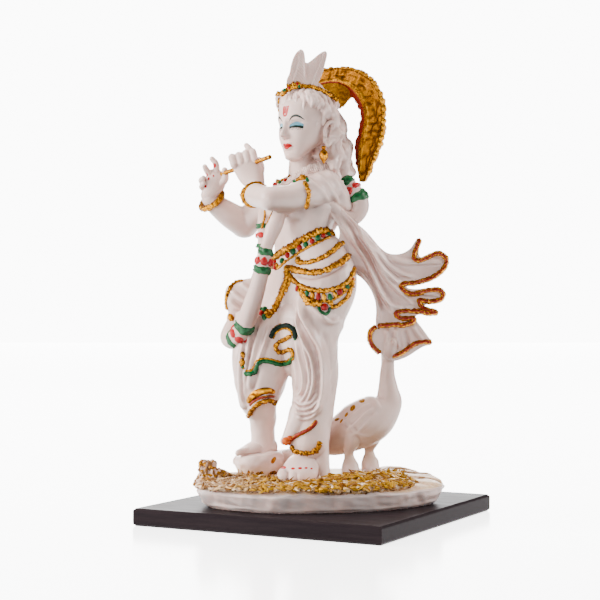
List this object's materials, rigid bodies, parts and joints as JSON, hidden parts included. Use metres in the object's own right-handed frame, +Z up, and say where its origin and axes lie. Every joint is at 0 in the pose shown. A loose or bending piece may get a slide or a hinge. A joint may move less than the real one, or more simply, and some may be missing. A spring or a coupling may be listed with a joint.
{
  "type": "krishna figure",
  "caption": "Painted marble-resin statue of a standing flute player with halo, garland, flying scarf and bird, on a rock base and a square plinth.",
  "frame": {"origin": "centre of the plinth's underside, which the whole object rests on", "axes": "+Z up; X and Y along the plinth's sides, and the figure's front is about 22 degrees from -Y towards -X"},
  "size_m": [0.186, 0.186, 0.3277],
  "materials": {
    "plinth": "satin dark brown paint",
    "figure": "satin marble-resin, painted details",
    "flute": "gold-brown paint"
  },
  "bodies": {
    "root": {"plinth": "plinth", "figure": "figure", "flute": "flute"}
  },
  "joints": []
}
